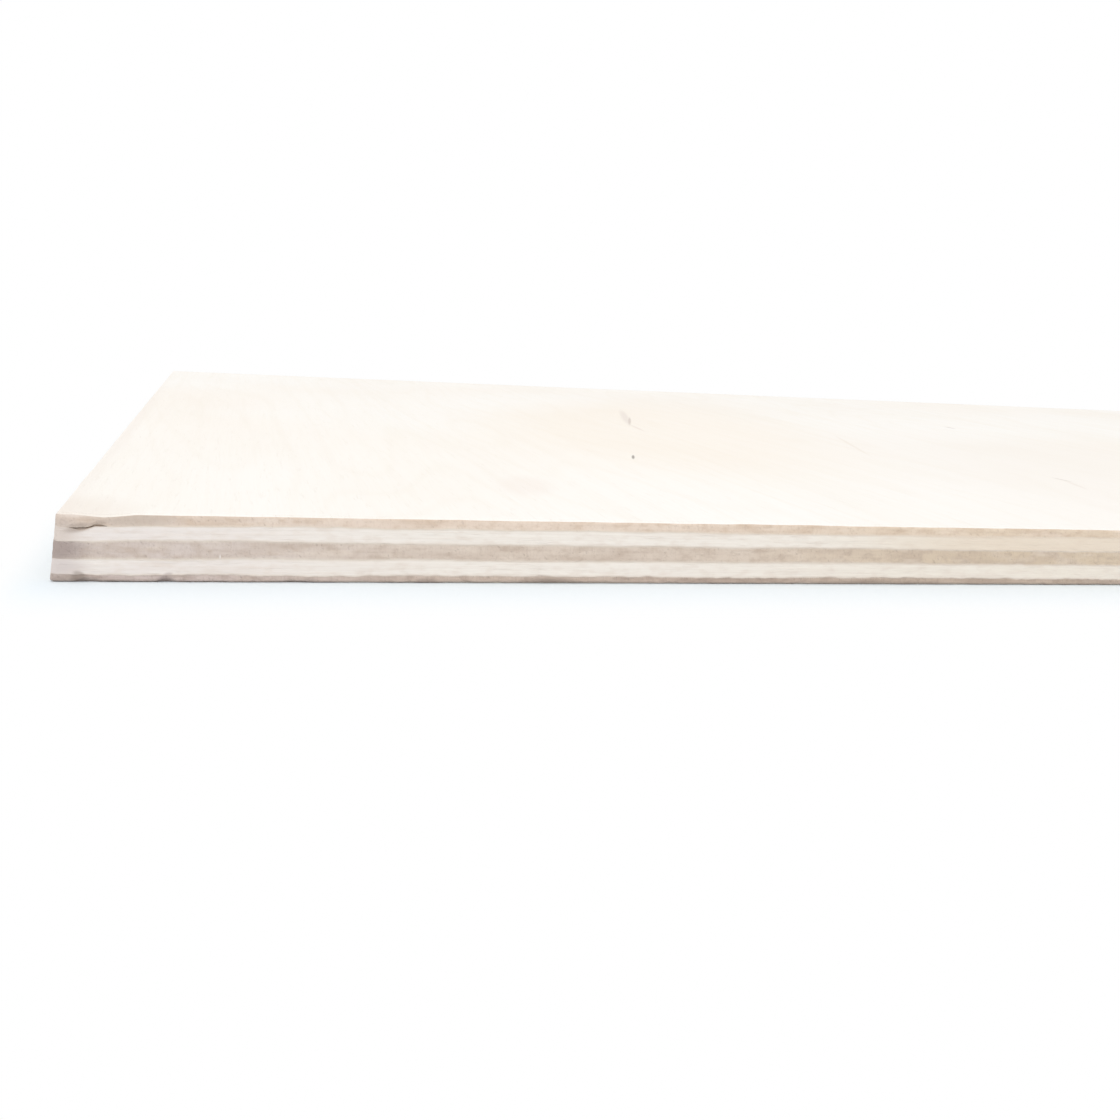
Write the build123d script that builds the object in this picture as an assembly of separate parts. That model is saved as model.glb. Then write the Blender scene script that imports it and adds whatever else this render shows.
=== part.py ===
from build123d import *
import os

# A small sheet of five-ply birch plywood, 6.5 mm thick, lying flat.
# Millimetres. The origin is the centre of the underside, +X runs along the front edge,
# +Y along the grain of the face veneer, away from the front edge, and +Z is up.

# The sheet's outline, as it is sawn and sold
sheet_width = 297.0
sheet_depth = 210.0

# The thickness of each veneer. Sanding after pressing takes most off the two outer ones.
back_thickness = 0.75
lower_crossband_thickness = 1.55
core_thickness = 1.65
upper_crossband_thickness = 1.45
face_thickness = 1.10

# The left side was cut a little out of square: the face is this much narrower than the underside
left_cut_lean = 0.65

# Handling has eased the sheet: its long arrises a little, and its four upright corners more
face_arris_radius = 0.30
back_arris_radius = 0.20
corner_radius = 0.80

# The damage near the front left corner. Every place is measured from the left end of the underside,
# and every hollow is part of a lens: deepest on the front edge, pointed at its ends and inside the sheet.
# The face's arris is rubbed away along a short stretch
rub_from_left = 2.1
rub_length = 5.6
rub_height = 0.50
rub_depth = 0.70

# Under it the glue line of the face veneer has opened
split_from_left = 2.0
split_length = 2.8
split_height = 0.45
split_depth = 1.6

# Sawing has torn three chips from the underside's arris, each so far from the left and so long
chips = [(2.2, 2.6), (9.4, 2.1), (20.0, 4.2)]
chip_height = 0.45
chip_depth = 0.50

# The layup from the underside up. The grain of each veneer runs across that of its neighbours:
# along Y in the back, core and face veneers, and along X in the two crossbands.
layup = [
    ("back_veneer", back_thickness),
    ("lower_crossband", lower_crossband_thickness),
    ("core_veneer", core_thickness),
    ("upper_crossband", upper_crossband_thickness),
    ("face_veneer", face_thickness),
]
sheet_thickness = sum(thickness for name, thickness in layup)
left = -sheet_width / 2
right = sheet_width / 2
front = -sheet_depth / 2


def sawn_panel():
    """The pressed panel after sawing: the section along the front edge, run back over its depth."""
    corners = [(left, 0), (right, 0), (right, sheet_thickness), (left + left_cut_lean, sheet_thickness)]
    section = Plane.XZ * make_face(Polyline(*corners, close=True))
    return extrude(section, amount=sheet_depth / 2, both=True)


def eased(panel):
    """The panel with its upright corners rounded, and then the arrises of its two faces."""
    upright = panel.edges().filter_by(lambda edge: edge.bounding_box().size.Z > sheet_thickness / 2)
    panel = fillet(upright, corner_radius)
    panel = fillet(panel.faces().sort_by(Axis.Z)[-1].edges(), face_arris_radius)
    return fillet(panel.faces().sort_by(Axis.Z)[0].edges(), back_arris_radius)


def veneer(panel, underside, thickness):
    """The slice of the panel between two glue lines."""
    slab = Box(2 * sheet_width, 2 * sheet_depth, thickness, align=(Align.CENTER, Align.CENTER, Align.MIN))
    return (panel & Pos(0, 0, underside) * slab).solid()


def front_lens(height, from_left, length, depth, reach):
    """A lens on the front edge, to cut away: it reaches this far above and below its own height."""
    lens = scale(Sphere(1), by=(length / 2, depth, reach))
    return Pos(left + from_left + length / 2, front, height) * lens


# Saw and ease the whole panel, then take its veneers apart at the glue lines
panel = eased(sawn_panel())
veneers = {}
height = 0.0
for name, thickness in layup:
    veneers[name] = veneer(panel, height, thickness)
    height += thickness

# Rub the face's arris away
veneers["face_veneer"] -= front_lens(sheet_thickness, rub_from_left, rub_length, rub_depth, rub_height)

# Open the split between the face veneer and the crossband below it
glue_line = sheet_thickness - face_thickness
for name in ("face_veneer", "upper_crossband"):
    veneers[name] -= front_lens(glue_line, split_from_left, split_length, split_depth, split_height / 2)

# Tear the chips from the underside's arris
for from_left, length in chips:
    veneers["back_veneer"] -= front_lens(0, from_left, length, chip_depth, chip_height)

os.makedirs("parts", exist_ok=True)
for name, solid in veneers.items():
    solid.label = name
    export_step(solid, os.path.join("parts", name + ".step"))
    size = solid.bounding_box().size
    print(f"{name}: {size.X:.2f} x {size.Y:.2f} x {size.Z:.2f} mm, {solid.volume / 1000:.2f} cm3")
print(f"sheet thickness {sheet_thickness:.2f} mm")
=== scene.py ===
import math

import bmesh
import bpy
from mathutils import Matrix, Vector


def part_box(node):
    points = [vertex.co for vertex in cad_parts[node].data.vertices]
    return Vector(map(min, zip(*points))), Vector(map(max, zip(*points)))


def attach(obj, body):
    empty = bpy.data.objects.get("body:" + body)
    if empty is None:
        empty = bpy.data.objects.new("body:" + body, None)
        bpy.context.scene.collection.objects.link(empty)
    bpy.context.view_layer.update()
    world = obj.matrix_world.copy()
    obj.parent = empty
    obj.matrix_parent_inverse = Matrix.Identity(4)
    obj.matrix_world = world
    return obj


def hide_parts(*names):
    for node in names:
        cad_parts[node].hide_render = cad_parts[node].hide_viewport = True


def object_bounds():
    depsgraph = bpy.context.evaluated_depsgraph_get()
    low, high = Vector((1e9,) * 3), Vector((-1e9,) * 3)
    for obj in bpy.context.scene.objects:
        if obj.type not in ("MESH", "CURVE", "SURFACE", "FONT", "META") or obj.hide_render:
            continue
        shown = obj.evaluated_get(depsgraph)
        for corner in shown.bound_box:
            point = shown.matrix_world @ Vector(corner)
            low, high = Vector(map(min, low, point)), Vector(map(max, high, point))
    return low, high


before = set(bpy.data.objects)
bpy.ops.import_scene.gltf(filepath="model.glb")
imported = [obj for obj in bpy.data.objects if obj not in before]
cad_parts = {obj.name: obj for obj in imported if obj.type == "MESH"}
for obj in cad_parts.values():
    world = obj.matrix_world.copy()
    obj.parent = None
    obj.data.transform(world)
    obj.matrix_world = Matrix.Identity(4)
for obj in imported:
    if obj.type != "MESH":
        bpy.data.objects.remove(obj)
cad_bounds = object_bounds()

# A small sheet of five-ply birch plywood lies flat on a white table.
# Metres, in the frame of the solids: +X along the front edge, +Y along the face grain, +Z up.
mm = 0.001

# The veneers from the underside up, each by the name of its solid in the model
BACK, LOWER_BAND, CORE, UPPER_BAND, FACE = (
    "back_veneer",
    "lower_crossband",
    "core_veneer",
    "upper_crossband",
    "face_veneer",
)
LAYUP = (BACK, LOWER_BAND, CORE, UPPER_BAND, FACE)
CROSSBANDS = (LOWER_BAND, UPPER_BAND)
glue_heights = [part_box(name)[0].z for name in LAYUP[1:]]

# The sheet, from its solids
right = cad_bounds[1].x
left = -right
back = cad_bounds[1].y
front = -back
sheet_width = right - left
sheet_depth = back - front
sheet_thickness = cad_bounds[1].z

# The left side was cut a little out of square: the face is this much narrower than the underside
left_cut_lean = 0.65 * mm

# How handling has rounded the sheet
corner_radius = 0.8 * mm
face_arris_radius = 0.3 * mm
back_arris_radius = 0.2 * mm

# The damage near the front left corner, measured from the left end of the underside. The face's arris
# is rubbed down along a short stretch.
rub_from_left = 2.1 * mm
rub_length = 5.6 * mm
rub_height = 0.30 * mm
rub_depth = 0.70 * mm

# Under it the glue line has split: the line itself bends down and then up, the crossband's lip
# has sunk and the face veneer's has lifted. Each place is so far from the left, so long and so high.
bent_line = [(1.5 * mm, 2.2 * mm, -0.12 * mm), (3.4 * mm, 1.9 * mm, 0.30 * mm)]
sunk_lips = [(1.9 * mm, 2.3 * mm, -0.20 * mm), (3.5 * mm, 1.8 * mm, -0.20 * mm)]
lifted_lips = [(1.9 * mm, 2.1 * mm, 0.14 * mm), (3.6 * mm, 1.5 * mm, 0.12 * mm)]
split_depth = 0.32 * mm

# The chips in the underside's arris, each so far from the left, so long and so high
chips = [
    (2.2 * mm, 2.6 * mm, 0.36 * mm),
    (9.4 * mm, 2.1 * mm, 0.36 * mm),
    (20.0 * mm, 4.2 * mm, 0.18 * mm),
]
chip_depth = 0.50 * mm

# The fineness of the sawn edges: strips all round, then columns in each strip, and rows in each ply
strip_length = 11.0 * mm
columns_in_strip = 30
row_height = 0.18 * mm

# The front edge is damaged over this length from the left, and there wider columns than this are halved
damaged_length = 26.0 * mm
widest_damaged_column = 0.25 * mm

# Facets round the upright corners and over the arrises, and the turn up to which facets shade as one
corner_facets = 5
arris_facets = 4
smooth_turn = math.radians(40)

# Two loops inside the rim of each flat face keep the fine cuts near the edge. What lies nearer to the
# outline than the worked width is shaped on, and the rest of the face stays flat.
narrow_margin = 0.12 * mm
wide_margin = 0.40 * mm
worked_width = wide_margin + face_arris_radius + 0.05 * mm

# Points nearer than this are at the same place, and two directions are the same from this cosine on
touch = 0.01 * mm
same_way = 0.99

# The sanded face's wood goes over its arris down to where the surface still looks up by this cosine
over_arris = 0.75


def deselect_all():
    """Leave nothing selected and no object in edit mode."""
    if bpy.context.mode != "OBJECT":
        bpy.ops.object.mode_set(mode="OBJECT")
    bpy.ops.object.select_all(action="DESELECT")


def take_up(piece):
    """Make one piece the only selected and active one."""
    deselect_all()
    piece.select_set(True)
    bpy.context.view_layer.objects.active = piece


def open_in_edit(piece):
    """Go into edit mode on one piece, with nothing selected in it."""
    take_up(piece)
    bpy.ops.object.mode_set(mode="EDIT")
    bpy.ops.mesh.select_all(action="DESELECT")


def select(piece, kind, wanted):
    """Select the edges or faces of the piece in edit mode that pass the test, and no others."""
    bpy.ops.mesh.select_mode(type=kind)
    bpy.ops.mesh.select_all(action="DESELECT")
    mesh = bmesh.from_edit_mesh(piece.data)
    for part in mesh.edges if kind == "EDGE" else mesh.faces:
        if wanted(part):
            part.select_set(True)
    mesh.select_flush_mode()
    bmesh.update_edit_mesh(piece.data)


def left_at(height):
    """Where the leaning left side stands at this height."""
    return left + left_cut_lean * height / sheet_thickness


def from_rim(point):
    """How far inside the sheet's outline a point lies."""
    middle = (left_at(point.z) + right) / 2
    past_x = abs(point.x - middle) - (right - middle - corner_radius)
    past_y = abs(point.y) - (back - corner_radius)
    return corner_radius - math.hypot(max(past_x, 0), max(past_y, 0)) - min(max(past_x, past_y), 0)


def along(edge, axis, shortest):
    """True for an edge that runs along the axis and is longer than this."""
    run = edge.verts[1].co - edge.verts[0].co
    return run.length > shortest and abs(run[axis]) > same_way * run.length


def flat_face(face, height):
    """True for a level face at this height."""
    return abs(face.normal.z) > same_way and abs(face.calc_center_median().z - height) < touch


def at_left_foot(edge, height):
    """True for an edge of the first block's left side at this height."""
    ends = [vertex.co for vertex in edge.verts]
    return all(abs(end.x - left) < touch and abs(end.z - height) < touch for end in ends)


def at_corner(edge):
    """True for an edge at one of the sheet's four corners."""
    point = edge.verts[0].co
    at_side = min(abs(point.x - left_at(point.z)), abs(point.x - right)) < touch
    return at_side and abs(abs(point.y) - back) < touch


def near_rim(edge):
    """True for an edge on the outline or on one of the loops just inside it."""
    return all(from_rim(vertex.co) < worked_width for vertex in edge.verts)


def damaged(place):
    """True for a place on the stretch of the front edge that is damaged."""
    return place.y < front + worked_width and place.x < left + damaged_length


def on_damage(edge):
    """True for an edge near the rim that lies on the damaged stretch."""
    return near_rim(edge) and all(damaged(vertex.co) for vertex in edge.verts)


def veneer_blank(name, bottom, top):
    """A blank for one veneer: a block with a leaning left side, cut into strips, its corners rounded."""
    deselect_all()
    size = (sheet_width, sheet_depth, top - bottom)
    bpy.ops.mesh.primitive_cube_add(size=1, location=(0, 0, (bottom + top) / 2), scale=size)
    blank = bpy.context.object
    blank.name = name + "_wood"
    blank.data.name = blank.name
    bpy.ops.object.transform_apply(location=True, rotation=True, scale=True)
    open_in_edit(blank)
    for height in (bottom, top):
        select(blank, "EDGE", lambda edge: at_left_foot(edge, height))
        bpy.ops.transform.translate(value=(left_at(height) - left, 0, 0))
    for axis, length in ((0, sheet_width), (1, sheet_depth)):
        select(blank, "EDGE", lambda edge: along(edge, axis, length / 2))
        bpy.ops.mesh.subdivide(number_cuts=round(length / strip_length) - 1)
    select(blank, "EDGE", lambda edge: along(edge, 2, 0) and at_corner(edge))
    bpy.ops.mesh.bevel(offset=corner_radius, segments=corner_facets, affect="EDGES")
    return blank


def ease_arris(blank, height, radius):
    """Round the arris all the way round the flat face at this height."""
    select(blank, "FACE", lambda face: flat_face(face, height))
    bpy.ops.mesh.region_to_loop()
    bpy.ops.mesh.bevel(offset=radius, segments=arris_facets, affect="EDGES")


def add_margins(blank, bottom, top):
    """Add the two loops just inside the rim of both flat faces."""
    for height in (bottom, top):
        select(blank, "FACE", lambda face: flat_face(face, height))
        bpy.ops.mesh.inset(thickness=narrow_margin)
        bpy.ops.mesh.inset(thickness=wide_margin - narrow_margin)


def cut_columns(blank):
    """Cut the strips near the rim into fine columns, all the way round, and finer where it is damaged."""
    for axis in (0, 1):
        select(blank, "EDGE", lambda edge: along(edge, axis, strip_length / 2) and near_rim(edge))
        bpy.ops.mesh.subdivide(number_cuts=columns_in_strip - 1)
    select(blank, "EDGE", lambda edge: along(edge, 0, widest_damaged_column) and on_damage(edge))
    bpy.ops.mesh.subdivide(number_cuts=1)


def cut_rows(blank, thickness):
    """Cut the sawn edges of the blank into rows, by the edges that lead up or down across its middle."""
    across = [point.value for point in blank.data.attributes["across"].data]
    open_in_edit(blank)
    select(blank, "EDGE", lambda edge: across[edge.verts[0].index] != across[edge.verts[1].index])
    bpy.ops.mesh.subdivide(number_cuts=round(thickness / row_height) - 1)


def texture(name, kind, **settings):
    """A pattern for the Displace modifier. Its size comes from where it is laid out."""
    pattern = bpy.data.textures.new(name, kind)
    for setting, value in settings.items():
        setattr(pattern, setting, value)
    return pattern


soft_noise = texture("soft noise", "CLOUDS", noise_scale=1.0, noise_depth=3)
rough_noise = texture("rough noise", "CLOUDS", noise_scale=1.0, noise_depth=2)
lens = texture("lens", "BLEND", progression="SPHERICAL")


def pick(piece, wanted):
    """The numbers of the piece's points that pass the test."""
    return [vertex.index for vertex in piece.data.vertices if wanted(vertex.co)]


def work(piece, points, pattern, axis, push, size, centre=(0, 0, 0), middle=0.5):
    """Move these points along an axis by a pattern of this size, laid out round the centre."""
    take_up(piece)
    group = piece.vertex_groups.new(name="worked")
    group.add(points, 1.0, "REPLACE")
    bpy.ops.object.modifier_add(type="DISPLACE")
    modifier = piece.modifiers[-1]
    modifier.vertex_group = group.name
    modifier.direction = axis
    modifier.strength = push
    modifier.mid_level = middle
    modifier.texture = pattern
    modifier.texture_coords = "OBJECT"
    layout = bpy.data.objects.new("layout", None)
    bpy.context.collection.objects.link(layout)
    layout.location = centre
    layout.scale = size
    modifier.texture_coords_object = layout
    bpy.context.view_layer.update()
    bpy.ops.object.modifier_apply(modifier=modifier.name)
    bpy.data.objects.remove(layout)
    piece.vertex_groups.clear()


# A lens is tall, so that it moves all that is picked above and below its middle about alike
lens_reach = 5 * mm


def hollow(piece, points, from_left, length, depth, height, push):
    """Push points up or down round a place on the front edge, most in its middle."""
    centre = (left + from_left + length / 2, front, height)
    work(piece, points, lens, "Z", push, (length / 2, depth, lens_reach), centre, middle=0)


# How the glue lines waver: the press squeezes soft wood more than hard, and sawing frays the line
glue_waver = 0.36 * mm
glue_swell = (12 * mm, 8 * mm, 0.6 * mm)
fray_size = (1.5 * mm, 1.5 * mm, 0.6 * mm)

# From the lowest line up. The lowest is the most frayed, because the saw left the sheet there.
glue_frays = [0.30 * mm, 0.16 * mm, 0.16 * mm, 0.14 * mm]

# In the handled corner at the front left the lines sag, the upper ones most
glue_sags = [0.04 * mm, 0.12 * mm, 0.22 * mm, 0.30 * mm]
sag_from_left = -2.5 * mm
sag_length = 11.0 * mm

# The lips of the split have wavered and sagged with their glue line, but no further off it than this
lip_reach = 0.6 * mm


def by_glue_line(point, height, reach):
    """True for a point near the rim that is no further than this from a glue line's height."""
    return abs(point.z - height) < reach and from_rim(point) < worked_width


def waver_glue_lines(blank, bottom, top):
    """Let the glue lines of a veneer rise and fall, as its neighbours' do."""
    for height, fray, sag in zip(glue_heights, glue_frays, glue_sags):
        if min(abs(height - bottom), abs(height - top)) < touch:
            line = pick(blank, lambda point: by_glue_line(point, height, touch))
            work(blank, line, soft_noise, "Z", glue_waver, glue_swell)
            work(blank, line, rough_noise, "Z", fray, fray_size)
            hollow(blank, line, sag_from_left, sag_length, sag_length / 2, height, -sag)


def open_split(blank, name):
    """Part the face veneer from the crossband below it, in short gaps on the front edge."""
    height = glue_heights[-1]
    lips = pick(blank, lambda point: by_glue_line(point, height, lip_reach))
    opened_lips = lifted_lips if name == FACE else sunk_lips
    for from_left, length, push in bent_line + opened_lips:
        hollow(blank, lips, from_left, length, split_depth, height, push)


# Handling has worn the face's arris a little all round, and the saw has frayed the underside's
wear_depth = 0.12 * mm
wear_size = (4 * mm, 4 * mm, 4 * mm)
fray_depth = 0.14 * mm
fray_grain = (1.6 * mm, 1.6 * mm, 1.6 * mm)


def rim_of(blank, arris, radius):
    """The points of an arris that lie in its curve, and not further in on the flat face."""
    return [point for point in arris if from_rim(blank.data.vertices[point].co) < radius + touch]


def rub_face_arris(blank):
    """Wear the face's front arris down near the left corner, and very little all round."""
    arris = pick(blank, lambda point: point.z > sheet_thickness - face_arris_radius - touch)
    hollow(blank, arris, rub_from_left, rub_length, rub_depth, sheet_thickness, -rub_height)
    rim = rim_of(blank, arris, face_arris_radius)
    work(blank, rim, rough_noise, "Z", -wear_depth, wear_size, middle=0)


def chip_back_arris(blank):
    """Tear the chips out of the underside's front arris, and fray it a little all round."""
    arris = pick(blank, lambda point: point.z < back_arris_radius + touch)
    for from_left, length, height in chips:
        hollow(blank, arris, from_left, length, chip_depth, 0, height)
    rim = rim_of(blank, arris, back_arris_radius)
    work(blank, rim, rough_noise, "Z", fray_depth, fray_grain, middle=0)


def measure_across(blank, name, bottom, top):
    """Note at every point how far it lies across the veneer: 0 on one glue line, 0.5 in the middle
    and 1 on the next. The sheet's own two faces have no glue, so they count as a middle."""
    low = 0.5 if name == BACK else 0.0
    high = 0.5 if name == FACE else 1.0
    layer = blank.data.attributes.new("across", "FLOAT", "POINT")
    for vertex in blank.data.vertices:
        layer.data[vertex.index].value = low if vertex.co.z < (bottom + top) / 2 else high


# What the saw has left on the edges, each with a depth and a size: short torn fibres on end grain, long
# ones on long grain, and a slow wave over both. The points that it moves lie in a thin skin.
end_grain_tear = (0.10 * mm, (0.9 * mm, 0.9 * mm, 0.5 * mm))
long_grain_tear = (0.07 * mm, (6 * mm, 6 * mm, 0.4 * mm))
saw_wave = (0.10 * mm, (14 * mm, 14 * mm, 8 * mm))
sawn_skin = 0.35 * mm


def saw_edges(blank, name):
    """Roughen the four sawn edges. Every push goes into the sheet, so it keeps its size."""
    # Each side ends halfway into the rounded corners
    end_x = right - corner_radius / 2
    end_y = back - corner_radius / 2
    sides = [
        ("Y", 1, lambda point: point.y < front + sawn_skin and abs(point.x) < end_x),
        ("Y", -1, lambda point: point.y > back - sawn_skin and abs(point.x) < end_x),
        ("X", 1, lambda point: point.x < left_at(point.z) + sawn_skin and abs(point.y) < end_y),
        ("X", -1, lambda point: point.x > right - sawn_skin and abs(point.y) < end_y),
    ]
    for axis, inward, on_side in sides:
        points = pick(blank, on_side)
        end_grain = (axis == "Y") != (name in CROSSBANDS)
        tear = end_grain_tear if end_grain else long_grain_tear
        for pattern, (depth, size) in ((rough_noise, tear), (soft_noise, saw_wave)):
            work(blank, points, pattern, axis, inward * depth, size, middle=0)


def dress(blank, flat, sides_x, sides_y):
    """Give a blank its woods: on the flat faces, and on the edges that face along X and Y.
    The wood of those that face along Y goes round the upright corners."""
    for material in (flat, sides_x, sides_y):
        blank.data.materials.append(material)
    for face in blank.data.polygons:
        if face.normal.z > over_arris or face.normal.z < -same_way:
            face.material_index = 0
        elif abs(face.center.y) < back - corner_radius:
            face.material_index = 1
        else:
            face.material_index = 2


def bare_torn_wood(blank):
    """Let the hollows of the damaged stretch show the same wood inside as the sawn edge."""
    for face in blank.data.polygons:
        level = abs(face.normal.z) > same_way and face.center.z < sheet_thickness - touch
        if level and damaged(face.center):
            face.material_index = 2


def make_veneer(name, woods):
    """One veneer with its sawn edges, in place of its plain solid."""
    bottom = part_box(name)[0].z
    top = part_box(name)[1].z
    blank = veneer_blank(name, bottom, top)
    if name == FACE:
        ease_arris(blank, top, face_arris_radius)
    if name == BACK:
        ease_arris(blank, bottom, back_arris_radius)
    deselect_all()
    dress(blank, *woods)
    open_in_edit(blank)
    add_margins(blank, bottom, top)
    cut_columns(blank)
    deselect_all()
    bare_torn_wood(blank)
    # Measured while the veneer is still even, because its rows are cut by this later
    measure_across(blank, name, bottom, top)
    waver_glue_lines(blank, bottom, top)
    if name in (FACE, UPPER_BAND):
        open_split(blank, name)
    if name == FACE:
        rub_face_arris(blank)
    if name == BACK:
        chip_back_arris(blank)
    cut_rows(blank, top - bottom)
    deselect_all()
    saw_edges(blank, name)
    take_up(blank)
    bpy.ops.object.shade_smooth_by_angle(angle=smooth_turn)
    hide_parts(name)
    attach(blank, "root")


def linear(colour):
    """A colour written as an sRGB hex string, as the linear values that shaders use."""
    channels = (int(colour[i : i + 2], 16) / 255 for i in (1, 3, 5))
    return (*(c / 12.92 if c <= 0.04045 else ((c + 0.055) / 1.055) ** 2.4 for c in channels), 1.0)


def add_node(tree, kind, inputs, **settings):
    """Add one shader node with its settings, and set or link its inputs."""
    node = tree.nodes.new("ShaderNode" + kind)
    for setting, value in settings.items():
        setattr(node, setting, value)
    for socket, value in inputs.items():
        if isinstance(value, bpy.types.NodeSocket):
            tree.links.new(value, node.inputs[socket])
        else:
            node.inputs[socket].default_value = value
    return node


def new_material(name, roughness):
    """An empty material and its parts: the node tree, the shader and the place on the object."""
    material = bpy.data.materials.new(name)
    material.use_nodes = True
    tree = material.node_tree
    shader = tree.nodes["Principled BSDF"]
    shader.inputs["Roughness"].default_value = roughness
    # Wood and laminate both bend light about this much
    shader.inputs["IOR"].default_value = 1.45
    place = add_node(tree, "TexCoord", {}).outputs["Object"]
    return material, tree, shader, place


def grain(tree, place, patch, start, end, detail=3.0, shift=(0, 0, 0)):
    """A random pattern: 0 below one level of its noise, 1 above the other, and soft between the two.
    The size of its patches along X, Y and Z and its shift are in millimetres."""
    centre = [length * mm for length in shift]
    size = [length * mm for length in patch]
    inputs = {"Vector": place, "Location": centre, "Scale": size}
    laid = add_node(tree, "Mapping", inputs, vector_type="TEXTURE")
    noise = add_node(tree, "TexNoise", {"Vector": laid.outputs[0], "Scale": 1.0, "Detail": detail})
    limits = {"Value": noise.outputs[0], "From Min": start, "From Max": end}
    return add_node(tree, "MapRange", limits, interpolation_type="SMOOTHSTEP").outputs[0]


def spot(tree, place, centre, half_size, turn=(0, 0, 0)):
    """A soft mark, 1 in the inner third of its half size and 0 past it."""
    inputs = {"Vector": place, "Location": centre, "Rotation": turn, "Scale": half_size}
    laid = add_node(tree, "Mapping", inputs, vector_type="TEXTURE")
    away = add_node(tree, "VectorMath", {0: laid.outputs[0]}, operation="LENGTH")
    limits = {"Value": away.outputs["Value"], "From Min": 1.0, "From Max": 0.3}
    return add_node(tree, "MapRange", limits, interpolation_type="SMOOTHSTEP").outputs[0]


# How far off a veneer's middle the smear at its glue lines begins: 0 is the middle and 0.5 the line
smear_start = 0.36


def near_glue(tree):
    """1 on the two glue lines of a veneer, and 0 in its middle."""
    across = add_node(tree, "Attribute", {}, attribute_name="across").outputs["Fac"]
    off_middle = add_node(tree, "Math", {0: across, 1: 0.5}, operation="SUBTRACT").outputs[0]
    off_middle = add_node(tree, "Math", {0: off_middle}, operation="ABSOLUTE").outputs[0]
    limits = {"Value": off_middle, "From Min": smear_start, "From Max": 0.5}
    return add_node(tree, "MapRange", limits, interpolation_type="SMOOTHSTEP").outputs[0]


def along_front(tree, place, start, end):
    """0 at one distance from the sheet's left end, 1 at another, and a smooth change between them."""
    along_x = add_node(tree, "SeparateXYZ", {0: place}).outputs["X"]
    limits = {"Value": along_x, "From Min": left + start, "From Max": left + end}
    return add_node(tree, "MapRange", limits, interpolation_type="SMOOTHSTEP").outputs[0]


def lay_colours(tree, ground, layers):
    """Lay colours over the ground, one after another, each by its own pattern and strength."""
    colour = linear(ground)
    for over, pattern, strength in layers:
        amount = add_node(tree, "Math", {0: pattern, 1: strength}, operation="MULTIPLY").outputs[0]
        # Sockets 6 and 7 are the two colours to mix, and output 2 is the mixed colour
        sockets = {0: amount, 6: colour, 7: linear(over)}
        colour = add_node(tree, "Mix", sockets, data_type="RGBA").outputs[2]
    return colour


def raise_relief(tree, shader, parts):
    """Give the surface a relief: the sum of several patterns, each with its height in metres."""
    total = 0.0
    for pattern, height in parts:
        sockets = {0: pattern, 1: height, 2: total}
        total = add_node(tree, "Math", sockets, operation="MULTIPLY_ADD").outputs[0]
    bump = add_node(tree, "Bump", {"Height": total, "Distance": 1.0, "Strength": 1.0})
    tree.links.new(bump.outputs[0], shader.inputs["Normal"])


def on_sheet(from_left, from_front, height=0.0):
    """A place in millimetres from the left end, the front edge and the underside."""
    return (left + from_left * mm, front + from_front * mm, height * mm)


# The knife has crossed about this many growth rings over the face. Half a ring counts as 0.5, and its
# late wood, which shows as a soft line, begins at this much of it.
rings_crossed = 16.0
late_wood_start = 0.28

# How deep the marks on the face and on the front edge go into the wood
face_mark_depth = 5 * mm
edge_mark_depth = 3 * mm


def sanded_face(name, ground, figure, warm, vessel, marks=()):
    """Birch veneer, peeled from the log and sanded: pale, close and nearly even.
    The knife crosses the growth rings at a slant, so they wander over the face as faint contours."""
    material, tree, shader, place = new_material(name, roughness=0.62)
    cloud = grain(tree, place, (30, 75, 50), 0.40, 0.75, detail=4)
    warmth = grain(tree, place, (70, 90, 50), 0.42, 0.72, detail=2, shift=(31, 17, 0))
    fibre = grain(tree, place, (0.35, 14, 5), 0.42, 0.72, detail=4)
    vessels = grain(tree, place, (0.28, 5, 5), 0.60, 0.74, detail=2, shift=(3, 5, 0))
    streak = grain(tree, place, (2.2, 90, 5), 0.45, 0.75, detail=3, shift=(11, 0, 0))
    ring_field = grain(tree, place, (42, 260, 50), 0.0, 1.0, detail=2, shift=(7, 90, 0))
    count = add_node(tree, "Math", {0: ring_field, 1: rings_crossed}, operation="MULTIPLY").outputs[0]
    contour = add_node(tree, "Math", {0: count, 1: 0.5}, operation="PINGPONG").outputs[0]
    limits = {"Value": contour, "From Min": late_wood_start, "From Max": 0.5}
    rings = add_node(tree, "MapRange", limits, interpolation_type="SMOOTHSTEP").outputs[0]
    layers = [
        (warm, warmth, 0.40),
        (figure, cloud, 0.30),
        (figure, rings, 0.15),
        (figure, streak, 0.18),
        (figure, fibre, 0.14),
        (vessel, vessels, 0.12),
    ]
    for centre, half_size, turn, colour, strength in marks:
        reach = (half_size[0] * mm, half_size[1] * mm, face_mark_depth)
        centre = on_sheet(*centre, sheet_thickness / mm)
        mark = spot(tree, place, centre, reach, (0, 0, math.radians(turn)))
        layers.append((colour, mark, strength))
    tree.links.new(lay_colours(tree, ground, layers), shader.inputs["Base Color"])
    raise_relief(tree, shader, [(fibre, 0.012 * mm), (vessels, -0.018 * mm)])
    return material


def front_marks(tree, place, marks):
    """The marks on the front edge, as layers of colour. Each is turned in the plane of the edge."""
    layers = []
    for centre, half_size, turn, colour, strength in marks:
        reach = (half_size[0] * mm, edge_mark_depth, half_size[1] * mm)
        mark = spot(tree, place, on_sheet(*centre), reach, (0, -math.radians(turn), 0))
        layers.append((colour, mark, strength))
    return layers


# Along the front edge the colour changes slowly: it is duller towards the front left corner, and
# warmer towards the right. Each change runs from the first distance from the left to the second.
corner_change = (45 * mm, 3 * mm)
far_change = (55 * mm, 100 * mm)
change_strength = 0.8

# The checks in end grain lean both ways, by this turn about X and Y in radians
check_lean = (0.6, 0.6, 0)


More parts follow.
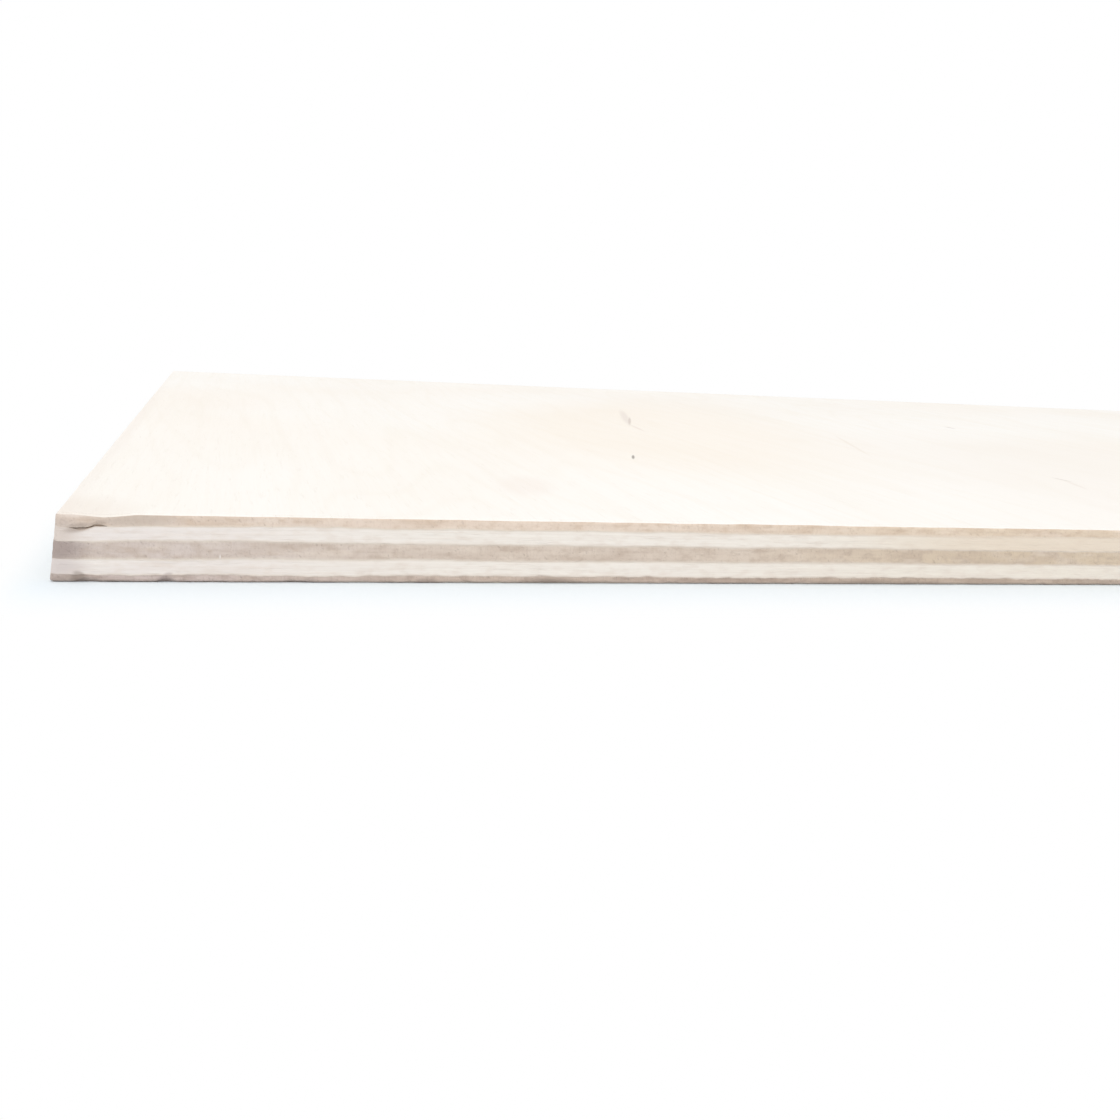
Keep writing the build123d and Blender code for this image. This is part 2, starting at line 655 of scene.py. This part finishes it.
def slow_changes(tree, place, corner, far):
    """The slow changes along the front edge, as layers of colour."""
    return [
        (far, along_front(tree, place, *far_change), change_strength),
        (corner, along_front(tree, place, *corner_change), change_strength),
    ]


def sawn_end_grain(name, ground, late, pale, dust, corner, far, smeared, marks=()):
    """Birch sawn across its fibres: it drinks the light, so it is the darkest face.
    The growth rings lie along the veneer, and short checks from the peeling stand across it.
    The saw has smeared a little of the next veneer over each glue line, so no line is sharp."""
    material, tree, shader, place = new_material(name, roughness=0.85)
    blotch = grain(tree, place, (7, 7, 1.6), 0.40, 0.72)
    pale_patch = grain(tree, place, (4, 4, 1.2), 0.48, 0.75, detail=2, shift=(9, 4, 0))
    speckle = grain(tree, place, (1.2, 1.2, 0.6), 0.42, 0.75, detail=2)
    rings = grain(tree, place, (12, 12, 0.22), 0.45, 0.72)
    rays = grain(tree, place, (0.14, 0.14, 1.1), 0.45, 0.75)
    pores = grain(tree, place, (0.11, 0.11, 0.11), 0.60, 0.72, detail=2)
    leaning = add_node(tree, "Mapping", {"Vector": place, "Rotation": check_lean}).outputs[0]
    checks = grain(tree, leaning, (0.22, 0.22, 1.4), 0.66, 0.76, detail=1, shift=(2, 3, 0))
    layers = [
        *slow_changes(tree, place, corner, far),
        (late, blotch, 0.48),
        (pale, pale_patch, 0.60),
        (late, speckle, 0.50),
        (late, rings, 0.14),
        (late, rays, 0.12),
        (dust, checks, 0.16),
        (dust, pores, 0.10),
        (smeared, near_glue(tree), 0.85),
        *front_marks(tree, place, marks),
    ]
    tree.links.new(lay_colours(tree, ground, layers), shader.inputs["Base Color"])
    relief = [(rays, 0.02 * mm), (pores, -0.02 * mm), (checks, -0.03 * mm), (rings, 0.015 * mm)]
    raise_relief(tree, shader, relief)
    return material


def sawn_long_grain(name, ground, streaky, pale, dust, corner, far, smeared, marks=()):
    """Birch sawn along its fibres: pale, with fine streaks that run along the edge."""
    material, tree, shader, place = new_material(name, roughness=0.75)
    blotch = grain(tree, place, (11, 11, 2.5), 0.42, 0.72)
    speckle = grain(tree, place, (1.6, 1.6, 0.7), 0.45, 0.75, detail=2, shift=(4, 1, 0))
    streaks = grain(tree, place, (9, 9, 0.16), 0.42, 0.75, detail=4)
    fibres = grain(tree, place, (1.6, 1.6, 0.09), 0.45, 0.75)
    vessels = grain(tree, place, (2.6, 2.6, 0.10), 0.62, 0.74, detail=2, shift=(5, 2, 0))
    layers = [
        *slow_changes(tree, place, corner, far),
        (pale, blotch, 0.5),
        (streaky, speckle, 0.40),
        (streaky, streaks, 0.28),
        (streaky, fibres, 0.16),
        (dust, vessels, 0.14),
        (smeared, near_glue(tree), 0.85),
        *front_marks(tree, place, marks),
    ]
    tree.links.new(lay_colours(tree, ground, layers), shader.inputs["Base Color"])
    raise_relief(tree, shader, [(streaks, 0.015 * mm), (fibres, 0.01 * mm), (vessels, -0.015 * mm)])
    return material


def seen(tree):
    """1 for what the camera sees, straight or in gloss or glass, and 0 for what only gives light."""
    ray = add_node(tree, "LightPath", {}).outputs
    sockets = {0: ray["Is Glossy Ray"], 1: ray["Is Transmission Ray"]}
    mirrored = add_node(tree, "Math", sockets, operation="MAXIMUM").outputs[0]
    return add_node(tree, "Math", {0: ray["Is Camera Ray"], 1: mirrored}, operation="MAXIMUM").outputs[0]


# The table reaches far past the picture. This far from the sheet, beside it and in front, it has gone
# over into the white of the room.
table_width = 6.0
side_fade = 5 * mm
front_fade = 14 * mm


def set_table():
    """A white laminate table top under the sheet: smooth and dull, so that it only keeps the soft shadow.
    A little way off it goes over into the white of the room."""
    deselect_all()
    bpy.ops.mesh.primitive_plane_add(size=table_width, location=(0, 0, 0))
    table = bpy.context.object
    table.name = "table"
    material, tree, shader, place = new_material("white table laminate", roughness=0.7)
    shader.inputs["Base Color"].default_value = linear("#F2FAFF")
    # How far outside the sheet's outline a point of the table lies, in shares of the two fades
    steps = [
        ("ABSOLUTE", (0, 0, 0)),
        ("SUBTRACT", (right, back, 0)),
        ("MAXIMUM", (0, 0, 0)),
        ("DIVIDE", (side_fade, front_fade, 1)),
    ]
    outside = place
    for step, by in steps:
        outside = add_node(tree, "VectorMath", {0: outside, 1: by}, operation=step).outputs[0]
    away = add_node(tree, "VectorMath", {0: outside}, operation="LENGTH").outputs["Value"]
    whiteness = add_node(tree, "MapRange", {"Value": away}, interpolation_type="SMOOTHSTEP").outputs[0]
    whiteness = add_node(tree, "Math", {0: seen(tree), 1: whiteness}, operation="MULTIPLY").outputs[0]
    white = add_node(tree, "Emission", {"Color": (1, 1, 1, 1), "Strength": 1.0}).outputs[0]
    mixed = add_node(tree, "MixShader", {0: whiteness, 1: shader.outputs[0], 2: white}).outputs[0]
    tree.links.new(mixed, tree.nodes["Material Output"].inputs["Surface"])
    table.data.materials.append(material)


# The room lights the sheet a little less strongly than the white that the camera sees of it, and the
# lamp hangs above it at the front left
room_strength = 0.83
lamp_place = (-0.45, -0.60, 1.1)
lamp_size = 0.9
lamp_power = 4.15


def set_lights():
    """A white room with one large soft lamp above, at a level where a colour renders about as written."""
    bpy.context.scene.view_settings.view_transform = "Standard"
    world = bpy.data.worlds.new("white room")
    bpy.context.scene.world = world
    world.use_nodes = True
    tree = world.node_tree
    background = tree.nodes["Background"]
    background.inputs["Color"].default_value = (1, 1, 1, 1)
    sockets = {0: seen(tree), 1: 1 - room_strength, 2: room_strength}
    strength = add_node(tree, "Math", sockets, operation="MULTIPLY_ADD").outputs[0]
    tree.links.new(strength, background.inputs["Strength"])
    deselect_all()
    bpy.ops.object.light_add(type="AREA", location=lamp_place, rotation=(0, 0, 0))
    lamp = bpy.context.object
    lamp.data.shape = "DISK"
    lamp.data.size = lamp_size
    lamp.data.energy = lamp_power
    lamp.rotation_euler = Vector(lamp_place).to_track_quat("Z", "Y").to_euler()


# The camera stands close to the near left corner, a little above the face, and leans to one side.
# Its focal length is in pixels of a picture this wide, and its film is in millimetres.
PHOTO_WIDTH = 1120
focal_px = 1268
film_width = 36
eye_from_corner = Vector((17.03, -121.35, 27.4)) * mm
eye_pitch = math.radians(11.25)
eye_roll = math.radians(3.33)
eye_yaw = math.radians(-14.49)


def set_camera():
    """The photograph's point of view, measured from the near left corner of the underside."""
    deselect_all()
    bpy.ops.object.camera_add()
    camera = bpy.context.object
    turn = (
        Matrix.Rotation(eye_yaw, 4, "Z")
        @ Matrix.Rotation(math.radians(90) - eye_pitch, 4, "X")
        @ Matrix.Rotation(eye_roll, 4, "Z")
    )
    camera.matrix_world = Matrix.Translation(Vector((left, front, 0)) + eye_from_corner) @ turn
    camera.data.sensor_width = film_width
    camera.data.lens = focal_px / PHOTO_WIDTH * film_width
    camera.data.clip_start = 1 * mm
    bpy.context.scene.camera = camera


# The marks on the face: place from the left and the front, half size along X and Y, turn in degrees,
# colour and strength. Millimetres.
face_marks = [
    # A warmer patch in the wood, the darker left side and front left corner, and a duller right part
    ((90, 95), (48, 90), -14, "#FBEBD6", 0.32),
    ((0.6, 60), (2.6, 170), 0, "#F1E6DD", 0.35),
    ((1.5, 1.5), (8, 12), 0, "#EFE4D9", 0.52),
    ((155, 50), (70, 85), 0, "#F9F2EA", 0.50),
    # A pin fleck, and a smudge with a darker end and a tail
    ((73.0, 55.9), (0.31, 3.6), -17, "#8C837B", 0.85),
    ((92.3, 124.5), (1.1, 23), -14, "#E2D6CE", 0.50),
    ((90.5, 115.2), (0.4, 12), -17, "#C9BAB0", 0.55),
    ((87.8, 101.8), (0.5, 9), -5, "#E6D8CD", 0.45),
    # A faint streak, a grey speck, a short dark streak with a tail, and a dull patch
    ((121.8, 83.3), (0.5, 24), -16.5, "#E8DBCB", 0.28),
    ((167.4, 127.2), (0.5, 2.8), 2, "#B9ADA8", 0.60),
    ((135.9, 42.7), (0.35, 3.2), 3, "#BBAEA2", 0.45),
    ((134.3, 37.2), (0.5, 7), -17.6, "#E6DACF", 0.28),
    ((49.8, 24.0), (4.6, 12), -12, "#F4E6DD", 0.30),
]

# The marks on the front edge: place from the left, the front and the underside, half size along X and Z,
# turn, colour and strength. Millimetres. The face veneer's end grain is duller at its left end and under
# the rubbed arris, which is pale, and darker round the split, where the darkening is painted shade.
face_end_marks = [
    ((0.6, 0, 5.4), (3.0, 1.2), 0, "#CEBEB4", 0.7),
    ((7.4, 0, 6.0), (5.6, 1.1), 0, "#C8B7A9", 0.72),
    ((2.6, 0, 6.5), (3.0, 0.6), 0, "#EADDD3", 0.7),
    # Painted shade round the split
    ((2.7, 0, 5.20), (1.7, 0.50), 12, "#AE9D91", 0.66),
    ((4.4, 0, 5.46), (1.1, 0.42), 12, "#AE9B8D", 0.62),
]

# Both crossbands are duller at their left ends. The upper one is darker round the split, which is painted
# shade, and warmer far along, and the lower one is darker just above two chips.
band_marks = [
    ((0.4, 0, 4.6), (3.4, 1.5), 0, "#D3C3B8", 0.7),
    ((0.3, 0, 1.5), (4.2, 1.6), 0, "#D3C6C2", 0.7),
    # Painted shade round the split
    ((2.7, 0, 5.06), (1.7, 0.50), 12, "#AE9D91", 0.66),
    ((2.7, 0, 0.78), (0.75, 0.42), -15, "#A3948A", 0.60),
    ((10.5, 0, 0.72), (0.7, 0.34), 20, "#B0A09A", 0.45),
    ((108, 0, 4.7), (34, 2.2), 0, "#EBD8C2", 0.70),
]

# The core is dark at its left end, and has one pale fleck
core_marks = [
    ((0.4, 0, 3.1), (4.2, 1.8), 0, "#A79690", 0.85),
    ((15.3, 0, 2.5), (0.10, 0.30), 0, "#F1E9E4", 0.8),
]

# The back veneer has a dark foot all along, which is painted shade where it meets the table, a duller
# left end, dark torn wood in the three chips, with painted shade in them, and darker stretches of its
# foot, also painted shade
back_marks = [
    # Painted shade along the foot, where the sheet meets the table
    ((148, 0, 0), (2000, 0.36), 0, "#968A84", 0.32),
    ((0.4, 0, 0.4), (4.0, 1.4), 0, "#B5A59C", 0.60),
    # Torn wood in the chips, darkened further by painted shade
    ((2.7, 0, 0.4), (1.1, 0.9), -15, "#8B7C72", 0.70),
    ((10.2, 0, 0.2), (1.2, 0.7), 20, "#8A7974", 0.55),
    # Darker stretches of the painted shade along the foot
    ((23.5, 0, 0.1), (1.2, 0.6), 0, "#95857F", 0.40),
    ((35.0, 0, 0.1), (1.6, 0.6), 0, "#8F7F76", 0.45),
    ((47.6, 0, 0.1), (4.2, 0.7), 0, "#84756B", 0.55),
    ((84.0, 0, 0.1), (11, 0.6), 0, "#8D7D71", 0.40),
]

face_wood = sanded_face(
    "sanded birch face",
    ground="#FEFBF6",
    figure="#F6EEE2",
    warm="#FBF1E5",
    vessel="#E4D6C4",
    marks=face_marks,
)
back_wood = sanded_face(
    "sanded birch back",
    ground="#FAF3E7",
    figure="#EFE1CD",
    warm="#F6E8D6",
    vessel="#D6C3A9",
)
face_end = sawn_end_grain(
    "sawn end grain of the face veneer",
    ground="#EDD9C8",
    late="#D1B79F",
    pale="#F3E1D1",
    dust="#A08B79",
    corner="#E6D4C7",
    far="#EBD7BF",
    smeared="#E9DACA",
    marks=face_end_marks,
)
core_end = sawn_end_grain(
    "sawn end grain of the core veneer",
    ground="#E1D0C1",
    late="#C1AC9B",
    pale="#E6D6C7",
    dust="#8C7C70",
    corner="#DACCC6",
    far="#DDC8AD",
    smeared="#E3D6C9",
    marks=core_marks,
)
back_end = sawn_end_grain(
    "sawn end grain of the back veneer",
    ground="#D1BDAE",
    late="#A48F82",
    pale="#D9C7B9",
    dust="#75655B",
    corner="#D7C7C2",
    far="#CFBBA8",
    smeared="#DACDC2",
    marks=back_marks,
)
band_end = sawn_end_grain(
    "sawn end grain of a crossband",
    ground="#DCCAB8",
    late="#C2AE9C",
    pale="#E2D2C2",
    dust="#95836F",
    corner="#CDBDB2",
    far="#DCCAB6",
    smeared="#E4D8CA",
)
band_long = sawn_long_grain(
    "sawn long grain of a crossband",
    ground="#F6EDE3",
    streaky="#E4D4C7",
    pale="#F8F0E8",
    dust="#BFAD9C",
    corner="#EFE5E0",
    far="#F3E9DB",
    smeared="#E5D8CB",
    marks=band_marks,
)
outer_long = sawn_long_grain(
    "sawn long grain of a face veneer",
    ground="#F3E9DC",
    streaky="#E1D0BE",
    pale="#F5ECE0",
    dust="#BCA891",
    corner="#E4D6CA",
    far="#F2E6D6",
    smeared="#E6DACC",
)

# Each veneer's woods: its flat faces, its edges that face along X, and those that face along Y
woods = {
    BACK: (back_wood, outer_long, back_end),
    LOWER_BAND: (band_long, band_end, band_long),
    CORE: (outer_long, outer_long, core_end),
    UPPER_BAND: (band_long, band_end, band_long),
    FACE: (face_wood, outer_long, face_end),
}
for name in LAYUP:
    make_veneer(name, woods[name])

set_table()
set_lights()
set_camera()
